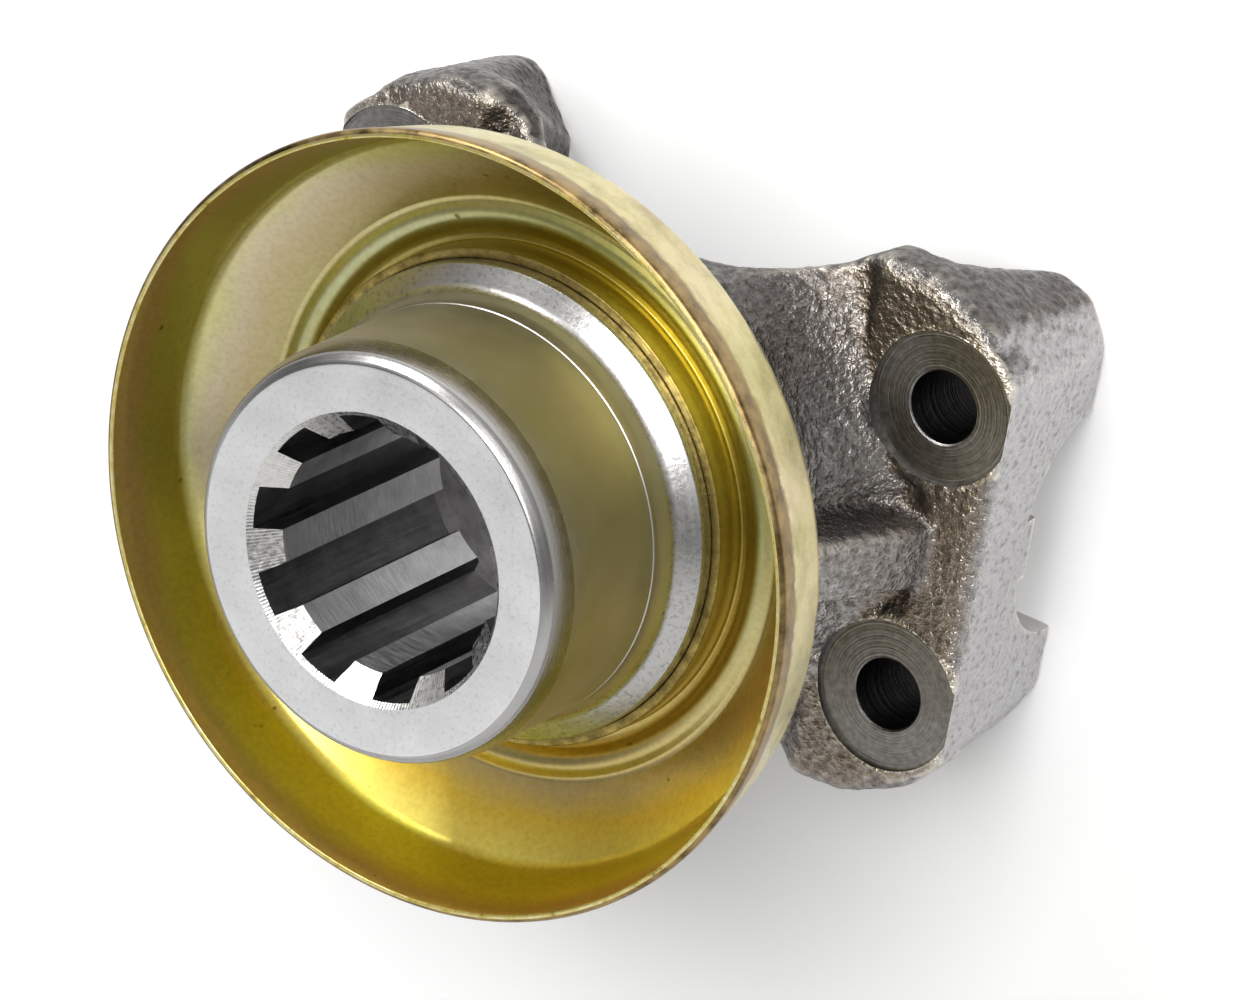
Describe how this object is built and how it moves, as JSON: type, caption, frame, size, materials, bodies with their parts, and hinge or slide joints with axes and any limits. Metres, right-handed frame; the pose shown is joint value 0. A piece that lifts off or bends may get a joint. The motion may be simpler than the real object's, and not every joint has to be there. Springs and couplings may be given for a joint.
{
  "type": "drive shaft end yoke",
  "caption": "Forged drive shaft end yoke: splined hub with a ground seal journal, two ears with half-round bearing cap seats and bolt holes, and a pressed-on dust shield.",
  "frame": {"origin": "on the hub axis, in the plane of the ear tips, which is also the plane of the bearing cap axis", "axes": "+Z along the hub axis towards the hub's nose, +X along the bearing cap axis"},
  "size_m": [0.0896, 0.0886, 0.0742],
  "materials": {
    "forged_steel": "as-forged dark grey steel, with hub, bore, spot faces and cap seats machined bright",
    "yellow_zinc_sheet": "zinc plate with yellow chromate"
  },
  "bodies": {
    "root": {"yoke_forging": "forged_steel", "dust_shield": "yellow_zinc_sheet"}
  },
  "joints": []
}
